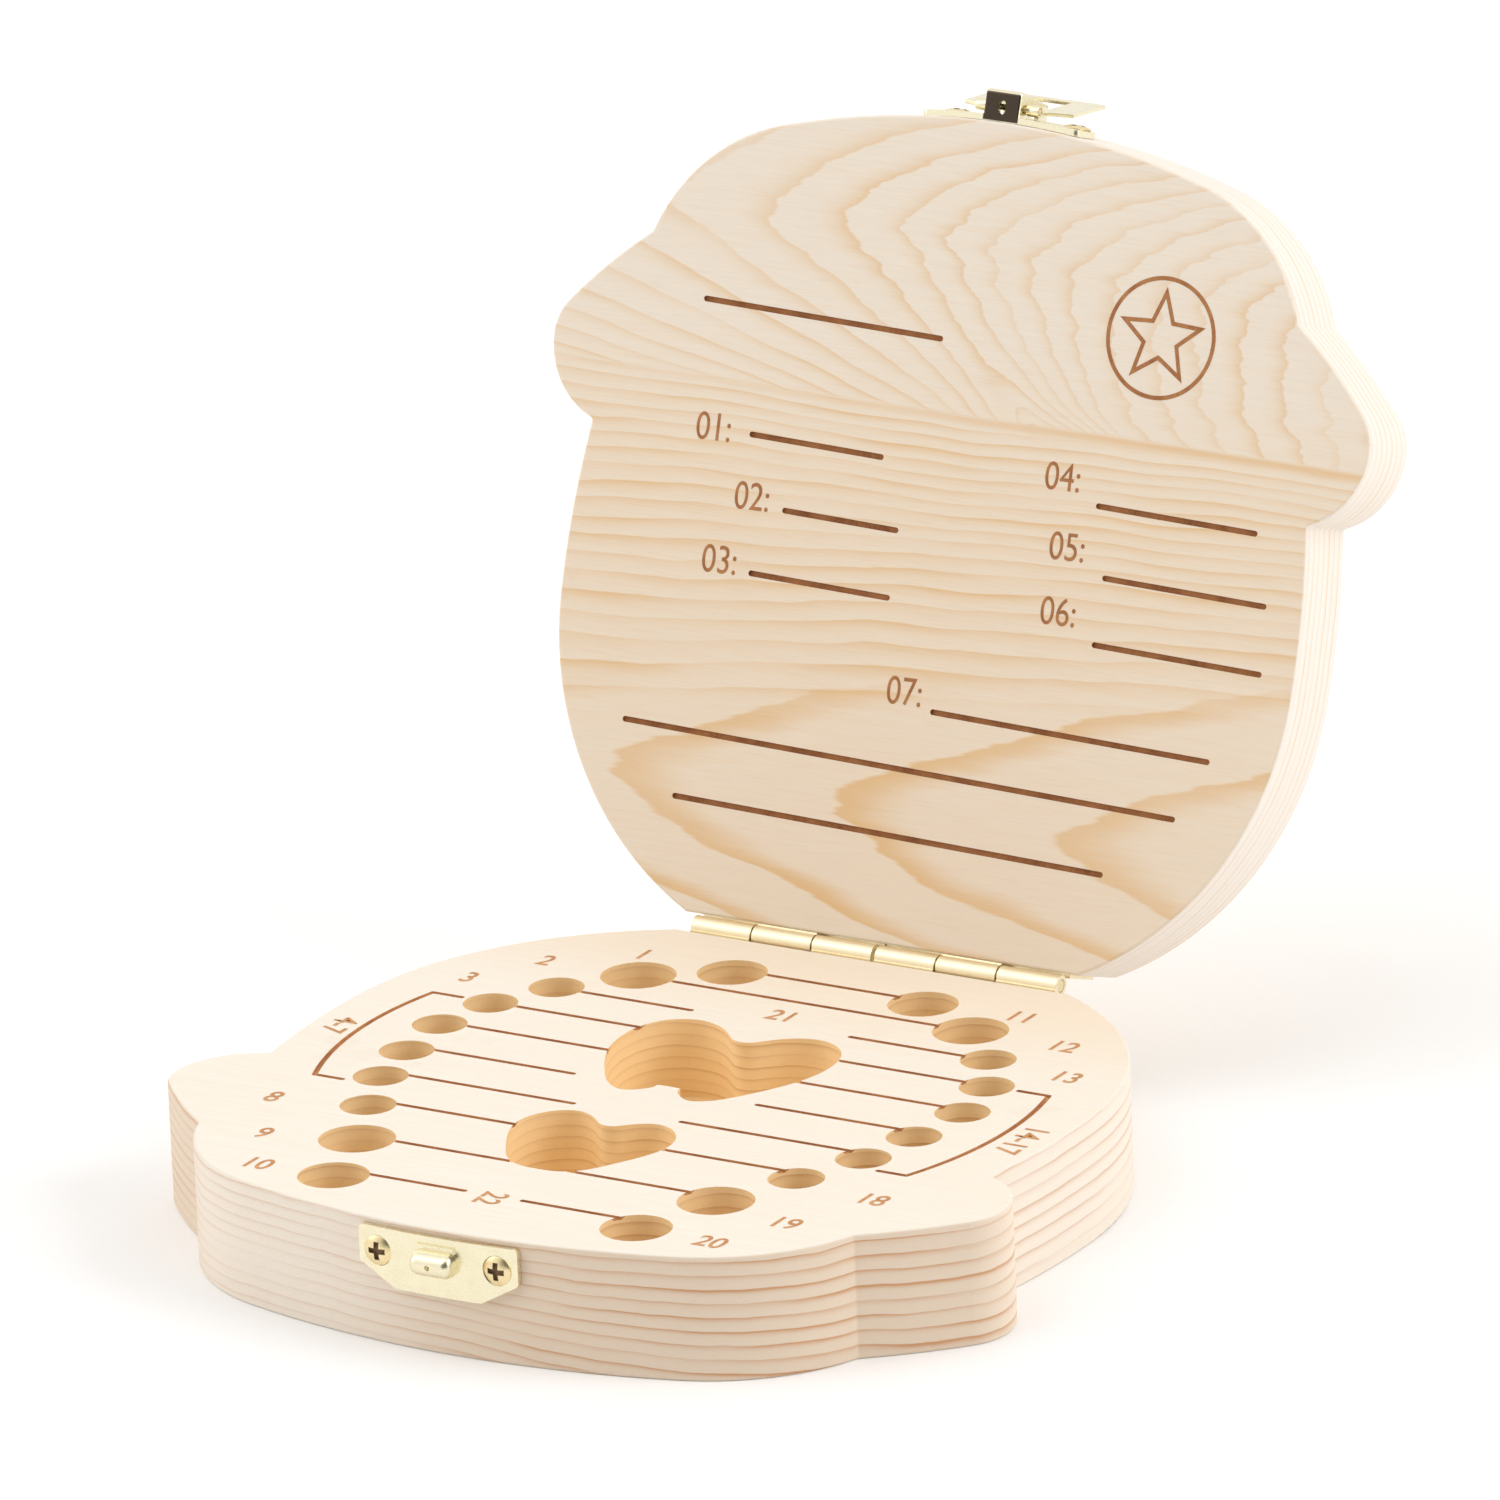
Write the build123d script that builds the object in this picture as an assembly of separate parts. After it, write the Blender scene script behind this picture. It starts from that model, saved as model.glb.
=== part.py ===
from build123d import *
import os

# Baby tooth box in pine with brass fittings: a tray and a lid of one outline, cut from solid board.
# Millimetres and degrees. +Z is up, +Y points to the hinges, the lid stands open as in use.
# The origin is the middle of the tray's underside.

# Wooden shells
box_width = 120.0
box_depth = 105.6
tray_height = 16.4
lid_thickness = 10.3
parting_gap = 0.3
edge_round = 0.4
lid_open_angle = 110.0
cut_overrun = 2.0

# Outline: shares of the half width from the centre line, and of the depth from the hinge edge
chin_half_share = 0.483
cheek_bulge_shares = (0.778, 0.148)
cheek_end_shares = (0.896, 0.361)
cheek_notch_shares = (0.876, 0.574)
brim_bulge_shares = (0.962, 0.609)
brim_tip_shares = (1.000, 0.663)
brim_underside_shares = (0.971, 0.715)
crown_notch_shares = (0.792, 0.810)
crown_end_shares = (0.516, 0.959)
outline_corner_round = 0.6

# Bores for the teeth
second_molar_bore = 9.1
first_molar_bore = 9.8
canine_bore = 7.2
incisor_bore = 7.1
tooth_bore_depth = 10.5
# Each row is mirrored: bore place across and along, its line's place along, its inner end across
tooth_row_shares = [
    ("second_molar", 0.234, 0.105, 0.095, 0.000),
    ("first_molar", 0.407, 0.161, 0.162, 0.000),
    ("canine", 0.528, 0.238, 0.239, 0.195),
    ("incisor", 0.606, 0.318, 0.315, 0.240),
    ("incisor", 0.637, 0.406, 0.398, 0.230),
    ("incisor", 0.617, 0.500, 0.485, 0.224),
    ("incisor", 0.586, 0.588, 0.572, 0.131),
    ("canine", 0.519, 0.678, 0.661, 0.178),
    ("first_molar", 0.434, 0.781, 0.769, 0.070),
    ("second_molar", 0.365, 0.897, 0.876, 0.070),
]
bore_diameters = {
    "second_molar": second_molar_bore,
    "first_molar": first_molar_bore,
    "canine": canine_bore,
    "incisor": incisor_bore,
}

# Keepsake pockets: half outlines from the dip between the lobes down to the bottom
pocket_depth = 10.5
cord_pocket_shares = [
    (0.000, 0.309), (0.040, 0.296), (0.085, 0.274), (0.150, 0.264), (0.216, 0.283),
    (0.250, 0.344), (0.233, 0.396), (0.172, 0.462), (0.122, 0.497), (0.083, 0.507),
    (0.050, 0.498), (0.028, 0.481), (0.000, 0.475),
]
hair_pocket_shares = [
    (0.000, 0.620), (0.035, 0.609), (0.097, 0.591), (0.153, 0.607), (0.182, 0.647),
    (0.163, 0.692), (0.127, 0.730), (0.087, 0.762), (0.048, 0.775), (0.000, 0.778),
]

# Engraved lines
engraving_width = 0.75
engraving_depth = 0.4
bracket_arm_shares = (0.752, 0.680)
bracket_end_shares = (0.315, 0.616)
bracket_foot_shares = (0.718, 0.650)
bracket_bulge_shares = (0.778, 0.450)
# Lines to write on inside the lid: from, to, and the place along, all slightly askew together
writing_tilt = 1.2
writing_line_shares = [
    (-0.645, -0.065, 0.731),
    (-0.483, -0.163, 0.578),
    (-0.375, -0.100, 0.494),
    (-0.433, -0.095, 0.412),
    (0.375, 0.755, 0.565),
    (0.417, 0.803, 0.481),
    (0.417, 0.817, 0.400),
    (0.057, 0.727, 0.286),
    (-0.683, 0.667, 0.211),
    (-0.533, 0.517, 0.130),
]

# Hinges: a pair of brass butt hinges on the outside of the back faces
hinge_length = 26.9
hinge_pair_gap = 0.3
barrel_radius = 1.4
barrel_wood_gap = 0.2
knuckle_gap = 0.25
leaf_thickness = 0.6
leaf_height = 8.4
leaf_root_gap = 0.3
hinge_pin_radius = 0.8
hinge_pin_clearance = 0.04
hinge_pin_inset = 0.15
hinge_screw_spacing = 16.6
hinge_screw_drop = 5.2
leaf_corner_round = 0.6

# Screws
hinge_screw_head = 3.0
hinge_screw_shank = 1.5
hinge_screw_length = 5.5
latch_screw_head = 3.9
latch_screw_shank = 1.9
latch_screw_length = 7.5
screw_head_rise = 0.5
head_clearance = 0.05
shank_clearance = 0.03
cross_slot_width = 0.7
cross_slot_reach_share = 0.6
cross_slot_depth = 0.6

# Plates of the latch, one on each wooden front face
plate_width = 22.9
plate_height = 7.75
plate_thickness = 0.8
plate_seat_gap = 0.05
plate_corner_round = 0.7
plate_flat_share = 0.54
plate_side_share = 0.62
plate_screw_spacing = 17.2
plate_screw_drop = 3.1
catch_plate_drop = 0.75
latch_plate_rise = 1.5

# Nose of the catch plate
nose_length = 5.9
nose_radius = 1.6
nose_reach = 2.2
nose_drop = 4.0
nose_end_round = 1.1
ledge_length = 5.4
ledge_height = 0.8
ledge_rise = 0.35
ledge_drop = 1.75
pit_radius = 0.35
pit_depth = 0.5

# Tower of the latch plate, which carries the hasp
tower_width = 5.2
tower_wall = 0.6
tower_front_height = 4.25
tower_back_height = 2.9
tower_length = 7.4
tower_bend = 0.65
tower_round = 0.3
window_width = 1.0
window_height = 1.85
window_sill = 0.95
side_window_length = 1.8
side_window_height = 1.7
side_window_sill = 0.95
side_window_start = 4.9

# Hasp, folded back from the catch
hasp_pin_radius = 0.4
hasp_pin_clearance = 0.04
hasp_pin_rise = 3.4
hasp_pin_reach = 1.95
hasp_eye_radius = 0.75
hasp_sheet = 0.5
hasp_side_gap = 0.3
hasp_half_width = 4.6
hasp_bill_half_width = 8.0
hasp_bill_start = 1.7
hasp_bill_slope = 0.9
hasp_window_half_width = 3.8
hasp_bar_start = 9.65
hasp_length = 11.8
hasp_lip_length = 1.1
hasp_lip_angle = 20.0
hasp_bill_round = 1.4
hasp_fold_angle = 168.0

# Places that follow from the sizes
half_width = box_width / 2
half_depth = box_depth / 2
front_y = -half_depth
hinge_y = half_depth + barrel_radius + barrel_wood_gap
hinge_z = tray_height + parting_gap / 2
lid_bottom = tray_height + parting_gap
lid_top = lid_bottom + lid_thickness
hinge_axis = Axis((0, hinge_y, hinge_z), (1, 0, 0))
hasp_pin_y = front_y - hasp_pin_reach
hasp_pin_z = lid_bottom + hasp_pin_rise
hasp_axis = Axis((0, hasp_pin_y, hasp_pin_z), (1, 0, 0))
crown_half = crown_end_shares[0] * half_width
crown_sag = (1 - crown_end_shares[1]) * box_depth
crown_radius = (crown_half ** 2 + crown_sag ** 2) / (2 * crown_sag)
plate_face_y = front_y - plate_seat_gap - plate_thickness


def plan_point(across_share, along_share):
    """A point of the plan view, from shares of the half width and of the depth."""
    return Vector(across_share * half_width, half_depth - along_share * box_depth)


def mirrored(point):
    return Vector(-point.X, point.Y)


def outline_face():
    """The silhouette that the tray and the closed lid share: arcs, mirrored about the centre line."""
    chin = plan_point(chin_half_share, 0)
    crown_end = plan_point(*crown_end_shares)
    crown_notch = plan_point(*crown_notch_shares)
    cheek = ThreePointArc(chin, plan_point(*cheek_bulge_shares), plan_point(*cheek_end_shares))
    jaw = TangentArc(cheek @ 1, plan_point(*cheek_notch_shares), tangent=cheek % 1)
    brim = ThreePointArc(jaw @ 1, plan_point(*brim_bulge_shares), plan_point(*brim_tip_shares))
    turn = TangentArc(brim @ 1, plan_point(*brim_underside_shares), tangent=brim % 1)
    underside = TangentArc(turn @ 1, crown_notch, tangent=turn % 1)
    crown = ThreePointArc(mirrored(crown_end), Vector(0, front_y), crown_end)
    shoulder = TangentArc(crown @ 1, crown_notch, tangent=crown % 1)
    half = [cheek, jaw, brim, turn, underside, shoulder]
    other_half = [mirror(edge, about=Plane.YZ) for edge in half]
    face = make_face(half + other_half + [crown, Line(mirrored(chin), chin)])
    sharp = []
    for point in (chin, jaw @ 1, crown_notch):
        for corner in (point, mirrored(point)):
            sharp.append(face.vertices().sort_by_distance(corner)[0])
    return fillet(sharp, outline_corner_round)


def wooden_blank(bottom, height):
    """A board of the silhouette, with its outer edges eased."""
    board = extrude(Pos(0, 0, bottom) * outline_face(), amount=height)
    rims = board.edges().group_by(Axis.Z)
    return fillet(rims[0] + rims[-1], edge_round)


def pocket_cutter(shares):
    """A keepsake pocket: one smooth half outline, mirrored, cut down from the tray's top."""
    points = [plan_point(*share) for share in shares]
    half = Spline(*points, tangents=[(1, 0), (-1, 0)])
    face = make_face([half, mirror(half, about=Plane.YZ)])
    cutter = extrude(face, amount=pocket_depth + cut_overrun)
    return Pos(0, 0, tray_height - pocket_depth) * cutter


def tooth_bore_cutters():
    """Blind bores for the teeth, in mirrored pairs."""
    height = tooth_bore_depth + cut_overrun
    middle_z = tray_height - tooth_bore_depth + height / 2
    cutters = []
    for name, across, along, _, _ in tooth_row_shares:
        place = plan_point(across, along)
        for x in (place.X, -place.X):
            cutters.append(Pos(x, place.Y, middle_z) * Cylinder(bore_diameters[name] / 2, height))
    return cutters


def groove(start, end, face_z, tilt=0):
    """A straight engraved line with round ends, cut down from the face at face_z."""
    run = end - start
    middle = (start + end) * 0.5
    slot = SlotCenterToCenter(run.length, engraving_width)
    cutter = extrude(slot, amount=engraving_depth + cut_overrun)
    return Pos(middle.X, middle.Y, face_z - engraving_depth) * Rot(0, 0, tilt) * cutter


def tray_line_cutters():
    """The lines from the bores towards the middle: the two nearest the hinge run right across."""
    cutters = []
    for _, across, _, line_along, inner in tooth_row_shares:
        outer_point = plan_point(across, line_along)
        if inner == 0:
            cutters.append(groove(mirrored(outer_point), outer_point, tray_height))
        else:
            inner_point = plan_point(inner, line_along)
            cutters.append(groove(inner_point, outer_point, tray_height))
            cutters.append(groove(mirrored(outer_point), mirrored(inner_point), tray_height))
    return cutters


def bracket_cutters():
    """The bowed brackets outside the four incisor bores of each side."""
    back = plan_point(bracket_arm_shares[0], bracket_end_shares[0])
    back_foot = plan_point(bracket_arm_shares[1], bracket_end_shares[0])
    front = plan_point(bracket_foot_shares[0], bracket_end_shares[1])
    front_foot = plan_point(bracket_foot_shares[1], bracket_end_shares[1])
    bulge = plan_point(*bracket_bulge_shares)
    cutters = []
    for side in (lambda point: point, mirrored):
        cutters.append(groove(side(back_foot), side(back), tray_height))
        cutters.append(groove(side(front_foot), side(front), tray_height))
        bow = trace(ThreePointArc(side(back), side(bulge), side(front)), engraving_width)
        cutter = extrude(bow, amount=engraving_depth + cut_overrun)
        cutters.append(Pos(0, 0, tray_height - engraving_depth) * cutter)
    return cutters


def writing_line_cutters():
    """The engraved lines on the lid's inner face, cut up into it."""
    cutters = []
    for from_share, to_share, along in writing_line_shares:
        line = groove(plan_point(from_share, along), plan_point(to_share, along), 0)
        upward = mirror(line, about=Plane.XY)
        cutters.append(Pos(0, 0, lid_bottom) * Rot(0, 0, writing_tilt) * upward)
    return cutters


def turned(profile):
    """A solid of revolution about Z, from points given as distance from the axis and height."""
    outline = Plane.XZ * make_face(Polyline(*profile, close=True))
    return revolve(outline, axis=Axis.Z)


def screw(head, shank, length, rise):
    """A cross-head screw: its axis is Z, its seat is at zero and its shank points down."""
    sink = (head - shank) / 2
    tip = shank / 3
    solid = turned([
        (0, 0), (head / 2, 0), (shank / 2, -sink), (shank / 2, tip - length),
        (shank / 2 - tip, -length), (0, -length),
    ])
    dome_radius = ((head / 2) ** 2 + rise ** 2) / (2 * rise)
    dome = Pos(0, 0, rise - dome_radius) * Sphere(dome_radius)
    above = Pos(0, 0, head / 2) * Box(head, head, head)
    solid += dome & above
    reach = head * cross_slot_reach_share
    for turn in (0, 90):
        slot = Box(reach, cross_slot_width, 2 * cross_slot_depth)
        solid -= Pos(0, 0, rise) * Rot(0, 0, turn) * slot
    return solid


def screw_seat(head, shank, length):
    """The hole that takes such a screw: countersink, clearance and pilot in one cutter."""
    sink = (head - shank) / 2
    wide = head / 2 + head_clearance
    narrow = shank / 2 + shank_clearance
    return turned([
        (0, cut_overrun), (wide, cut_overrun), (wide, 0), (narrow, -sink), (narrow, -length - shank_clearance),
        (0, -length - shank_clearance),
    ])


def facing_back(x, y, z):
    """A place whose local Z points out of a back face."""
    return Pos(x, y, z) * Rot(-90, 0, 0)


def facing_front(x, y, z):
    """A place whose local Z points out of a front face."""
    return Pos(x, y, z) * Rot(90, 0, 0)


def opened(shape):
    """Turns what belongs to the closed lid up to where the open lid stands."""
    return shape.rotate(hinge_axis, -lid_open_angle)


def hinge_centres():
    offset = (hinge_length + hinge_pair_gap) / 2
    return {"left": -offset, "right": offset}


leaf_back_y = half_depth + leaf_thickness
knuckle_length = hinge_length / 3


def hinge_screw_places(centre_x, up):
    """Screw places of one leaf: up is 1 on the closed lid and -1 on the tray."""
    z = hinge_z + up * hinge_screw_drop
    return [facing_back(centre_x + side * hinge_screw_spacing / 2, leaf_back_y, z) for side in (-1, 1)]


def hinge_leaf(centre_x, knuckles, up):
    """A leaf with its rolled knuckles, closed: knuckles lists their places along the barrel."""
    root = barrel_radius + leaf_root_gap
    plate_middle = hinge_z + up * (root + leaf_height) / 2
    plate = Box(hinge_length, leaf_thickness, leaf_height - root)
    corners = plate.edges().filter_by(Axis.Y).group_by(Axis.Z)[0 if up < 0 else -1]
    leaf = Pos(centre_x, half_depth + leaf_thickness / 2, plate_middle) * fillet(corners, leaf_corner_round)
    length = knuckle_length - knuckle_gap
    for place in knuckles:
        x = centre_x + place * knuckle_length
        neck = Box(length, leaf_thickness, root)
        leaf += Pos(x, half_depth + leaf_thickness / 2, hinge_z + up * root / 2) * neck
        barrel = Pos(x, hinge_y, hinge_z) * Rot(0, 90, 0) * Cylinder(barrel_radius, length)
        leaf += barrel
    bore = Cylinder(hinge_pin_radius + hinge_pin_clearance, hinge_length + cut_overrun)
    leaf -= Pos(centre_x, hinge_y, hinge_z) * Rot(0, 90, 0) * bore
    for place in hinge_screw_places(centre_x, up):
        leaf -= place * screw_seat(hinge_screw_head, hinge_screw_shank, hinge_screw_length)
    return leaf


def hinge_pin(centre_x):
    pin = Cylinder(hinge_pin_radius, hinge_length - 2 * hinge_pin_inset)
    return Pos(centre_x, hinge_y, hinge_z) * Rot(0, 90, 0) * pin


def hinge_screws(centre_x, up):
    """The two screws of one leaf, flush with it."""
    places = hinge_screw_places(centre_x, up)
    one = screw(hinge_screw_head, hinge_screw_shank, hinge_screw_length, cross_slot_width)
    return Compound(children=[place * one for place in places])


def plate_profile(straight_z, towards):
    """A latch plate seen from the front: straight edge at straight_z, slanted corners away from it."""
    half = plate_width / 2
    side_z = straight_z + towards * plate_height * plate_side_share
    end_z = straight_z + towards * plate_height
    flat = half * plate_flat_share
    points = [(-half, straight_z), (half, straight_z), (half, side_z), (flat, end_z), (-flat, end_z), (-half, side_z)]
    face = make_face(Polyline(*points, close=True))
    return fillet(face.vertices(), plate_corner_round)


def curved_shell(inner, thickness):
    """A shell that follows the crown's front curve, inner from the wood, over the box's whole height."""
    height = 2 * lid_top
    radius = crown_radius + inner
    shell = Cylinder(radius + thickness, height) - Cylinder(radius, height)
    return Pos(0, front_y + crown_radius, 0) * shell


def latch_plate_blank(straight_z, towards):
    face = Plane.XZ * plate_profile(straight_z, towards)
    slab = Pos(0, front_y + crown_sag, 0) * extrude(face, amount=crown_sag * 2 + plate_thickness * 2)
    return slab & curved_shell(plate_seat_gap, plate_thickness)


def crown_y(x, outward):
    """How far forward the crown's front face lies at x, with something outward thick on it."""
    radius = crown_radius + outward
    return front_y + crown_radius - (radius ** 2 - x ** 2) ** 0.5


def plate_screw_places(z):
    reach = plate_seat_gap + plate_thickness
    places = []
    for side in (-1, 1):
        x = side * plate_screw_spacing / 2
        places.append(facing_front(x, crown_y(x, reach), z))
    return places


catch_straight_z = tray_height - catch_plate_drop
latch_straight_z = lid_bottom + latch_plate_rise
catch_screw_places = plate_screw_places(catch_straight_z - plate_screw_drop)
latch_screw_places = plate_screw_places(latch_straight_z + plate_height - plate_screw_drop)
nose_z = tray_height - nose_drop


def catch_nose():
    """The pressed nose that holds the hasp: a half round bar on a straight root."""
    stem = nose_reach - nose_radius
    rod = Rot(0, 90, 0) * Cylinder(nose_radius, nose_length)
    front_half = Pos(0, -nose_radius / 2, 0) * Box(nose_length, nose_radius, 2 * nose_radius)
    bar = rod & front_half
    root_depth = stem + plate_thickness / 2
    bar += Pos(0, root_depth / 2, 0) * Box(nose_length, root_depth, 2 * nose_radius)
    bar = Pos(0, plate_face_y - stem, nose_z) * bar
    ends = bar.faces().filter_by(Axis.X)
    arcs = [edge for face in ends for edge in face.edges().filter_by(GeomType.CIRCLE)]
    return fillet(arcs, nose_end_round)


def catch_plate():
    plate = latch_plate_blank(catch_straight_z, -1) + catch_nose()
    ledge_z = tray_height - ledge_drop - ledge_height / 2
    ledge_depth = ledge_rise + plate_thickness / 2
    ledge = Box(ledge_length, ledge_depth, ledge_height)
    plate += Pos(0, plate_face_y - ledge_rise + ledge_depth / 2, ledge_z) * ledge
    pit = Cylinder(pit_radius, 2 * pit_depth)
    plate -= facing_front(0, plate_face_y - nose_reach, nose_z) * pit
    for place in catch_screw_places:
        plate -= place * screw_seat(latch_screw_head, latch_screw_shank, latch_screw_length)
    return plate


def tower():
    """The folded box on the latch plate that the hasp's pin runs through, open at its far end."""
    low_z = latch_straight_z
    high_z = low_z + tower_length
    root_y = front_y - plate_seat_gap - plate_thickness / 2
    low_y = front_y - tower_front_height
    high_y = front_y - tower_back_height
    outline = Polyline((root_y, low_z), (low_y, low_z), (high_y, high_z), (root_y, high_z), close=True)
    side = Plane.YZ * make_face(outline)
    box = extrude(side, amount=tower_width / 2, both=True)
    brow = box.faces().sort_by(Axis.Y)[0]
    box = fillet(brow.edges().sort_by(Axis.Z)[0], tower_bend)
    box = fillet(box.faces().sort_by(Axis.Y)[0].edges().filter_by(Axis.X, reverse=True), tower_round)
    inner = Polyline(
        (plate_face_y, low_z + tower_wall), (low_y + tower_wall, low_z + tower_wall),
        (high_y + tower_wall, high_z), (high_y + tower_wall, high_z + cut_overrun),
        (plate_face_y, high_z + cut_overrun), close=True,
    )
    hollow = extrude(Plane.YZ * make_face(inner), amount=tower_width / 2 - tower_wall, both=True)
    box -= hollow
    window_y = front_y - window_sill - window_height / 2
    arch = Rot(0, 0, 90) * SlotOverall(window_height, window_width)
    box -= Pos(0, window_y, low_z - cut_overrun) * extrude(arch, amount=cut_overrun + 2 * tower_wall)
    side_z = lid_bottom + side_window_start + side_window_length / 2
    side_y = front_y - side_window_sill - side_window_height / 2
    box -= Pos(0, side_y, side_z) * Box(2 * tower_width, side_window_height, side_window_length)
    bore = Cylinder(hasp_pin_radius + hasp_pin_clearance, 2 * tower_width)
    box -= Pos(0, hasp_pin_y, hasp_pin_z) * Rot(0, 90, 0) * bore
    return box


def latch_plate():
    plate = latch_plate_blank(latch_straight_z, 1) + tower()
    for place in latch_screw_places:
        plate -= place * screw_seat(latch_screw_head, latch_screw_shank, latch_screw_length)
    return plate


def plate_screw(place):
    return place * screw(latch_screw_head, latch_screw_shank, latch_screw_length, screw_head_rise)


def hasp_front_outline():
    """The hasp seen from the front and hanging shut: arms, bill and the window for the nose."""
    top = hasp_pin_z + hasp_eye_radius
    shoulder = hasp_pin_z - hasp_bill_start
    bill_top = shoulder - hasp_bill_slope
    bar_z = hasp_pin_z - hasp_bar_start
    tip = hasp_pin_z - hasp_length
    points = [
        (-hasp_half_width, top), (hasp_half_width, top), (hasp_half_width, shoulder),
        (hasp_bill_half_width, bill_top), (hasp_bill_half_width, tip),
        (-hasp_bill_half_width, tip), (-hasp_bill_half_width, bill_top), (-hasp_half_width, shoulder),
    ]
    outer = make_face(Polyline(*points, close=True))
    outer = fillet(outer.vertices().group_by(Axis.Y)[0], hasp_bill_round)
    window_top = hasp_pin_z - hasp_eye_radius - hasp_side_gap
    window_height_here = window_top - bar_z
    window = Rectangle(2 * hasp_window_half_width, window_height_here)
    window = fillet(window.vertices(), hasp_side_gap)
    eye_gap = Rectangle(tower_width + 2 * hasp_side_gap, top - window_top + hasp_eye_radius + cut_overrun)
    gap_middle = window_top - hasp_eye_radius / 2 + (top - window_top + hasp_eye_radius + cut_overrun) / 2
    outer -= Pos(0, (window_top + bar_z) / 2) * window
    outer -= Pos(0, gap_middle) * eye_gap
    return outer


def hasp_shut():
    """The hasp hanging shut over the catch: a bent sheet, rolled round its pin at the top."""
    outer_y = hasp_pin_y - hasp_eye_radius
    inner_y = outer_y + hasp_sheet
    lip_z = hasp_pin_z - hasp_length + hasp_lip_length
    lip = Vector(0, -hasp_lip_length).rotate(Axis.Z, -hasp_lip_angle)
    points = [
        (outer_y, hasp_pin_z), (outer_y, lip_z), (outer_y + lip.X, lip_z + lip.Y),
        (inner_y + lip.X, lip_z + lip.Y), (inner_y, lip_z), (inner_y, hasp_pin_z),
    ]
    sheet = extrude(Plane.YZ * make_face(Polyline(*points, close=True)), amount=box_width / 2, both=True)
    eye = Rot(0, 90, 0) * Cylinder(hasp_eye_radius, box_width)
    bore = Rot(0, 90, 0) * Cylinder(hasp_pin_radius + hasp_pin_clearance, 2 * box_width)
    strip = sheet + Pos(0, hasp_pin_y, hasp_pin_z) * eye
    strip -= Pos(0, hasp_pin_y, hasp_pin_z) * bore
    front = extrude(Plane.XZ * hasp_front_outline(), amount=box_depth)
    return strip & front


def hasp_pin():
    pin = Cylinder(hasp_pin_radius, 2 * hasp_half_width)
    return Pos(0, hasp_pin_y, hasp_pin_z) * Rot(0, 90, 0) * pin


def tray_body():
    """The tray: bores, pockets, engraved lines and the pilot holes of its screws."""
    body = wooden_blank(0, tray_height)
    body -= tooth_bore_cutters()
    body -= [pocket_cutter(cord_pocket_shares), pocket_cutter(hair_pocket_shares)]
    body -= tray_line_cutters() + bracket_cutters()
    for centre_x in hinge_centres().values():
        for place in hinge_screw_places(centre_x, -1):
            body -= place * screw_seat(hinge_screw_head, hinge_screw_shank, hinge_screw_length)
    for place in catch_screw_places:
        body -= place * screw_seat(latch_screw_head, latch_screw_shank, latch_screw_length)
    return body


def lid_body():
    """The lid, shut: a plain board with the lines to write on inside."""
    body = wooden_blank(lid_bottom, lid_thickness)
    body -= writing_line_cutters()
    for centre_x in hinge_centres().values():
        for place in hinge_screw_places(centre_x, 1):
            body -= place * screw_seat(hinge_screw_head, hinge_screw_shank, hinge_screw_length)
    for place in latch_screw_places:
        body -= place * screw_seat(latch_screw_head, latch_screw_shank, latch_screw_length)
    return body


def all_nodes():
    """Every piece under its node's name, where it is with the lid open and the hasp folded back."""
    nodes = {
        "tray_body": tray_body(),
        "lid_body": opened(lid_body()),
        "catch_plate": catch_plate(),
        "catch_left_screw": plate_screw(catch_screw_places[0]),
        "catch_right_screw": plate_screw(catch_screw_places[1]),
        "latch_plate": opened(latch_plate()),
        "latch_left_screw": opened(plate_screw(latch_screw_places[0])),
        "latch_right_screw": opened(plate_screw(latch_screw_places[1])),
        "latch_hasp": opened(hasp_shut().rotate(hasp_axis, -hasp_fold_angle)),
        "latch_hasp_pin": opened(hasp_pin()),
    }
    for side, centre_x in hinge_centres().items():
        nodes[side + "_hinge_tray_leaf"] = hinge_leaf(centre_x, (-1, 1), -1)
        nodes[side + "_hinge_lid_leaf"] = opened(hinge_leaf(centre_x, (0,), 1))
        nodes[side + "_hinge_pin"] = hinge_pin(centre_x)
        nodes[side + "_hinge_tray_screws"] = hinge_screws(centre_x, -1)
        nodes[side + "_hinge_lid_screws"] = opened(hinge_screws(centre_x, 1))
    return nodes


os.makedirs("parts", exist_ok=True)
for name, shape in all_nodes().items():
    export_step(shape, "parts/" + name + ".step")
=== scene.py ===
import math

import bmesh
import bpy
from mathutils import Matrix, Vector

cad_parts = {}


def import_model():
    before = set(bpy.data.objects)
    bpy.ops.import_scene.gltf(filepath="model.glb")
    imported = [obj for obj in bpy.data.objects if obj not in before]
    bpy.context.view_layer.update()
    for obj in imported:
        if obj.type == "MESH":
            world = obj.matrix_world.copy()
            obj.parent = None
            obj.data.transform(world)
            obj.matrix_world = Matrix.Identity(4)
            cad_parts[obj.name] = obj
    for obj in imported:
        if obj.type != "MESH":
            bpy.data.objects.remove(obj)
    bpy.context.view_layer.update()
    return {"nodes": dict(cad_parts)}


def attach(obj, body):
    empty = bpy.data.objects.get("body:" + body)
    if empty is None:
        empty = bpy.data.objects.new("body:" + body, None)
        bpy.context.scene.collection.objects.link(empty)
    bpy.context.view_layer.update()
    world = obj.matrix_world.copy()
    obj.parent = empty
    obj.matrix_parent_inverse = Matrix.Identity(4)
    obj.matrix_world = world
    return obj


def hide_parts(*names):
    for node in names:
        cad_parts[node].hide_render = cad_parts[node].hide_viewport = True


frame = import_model()

# Sizes and places of the box in metres, in the model's own frame with the lid shut
MM = 0.001
HINGE = Vector((0, 54.4, 16.55)) * MM
TRAY_TOP = 16.4 * MM
LID_FACE = 16.7 * MM
ENGRAVING_DEPTH = 0.4 * MM
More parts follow.
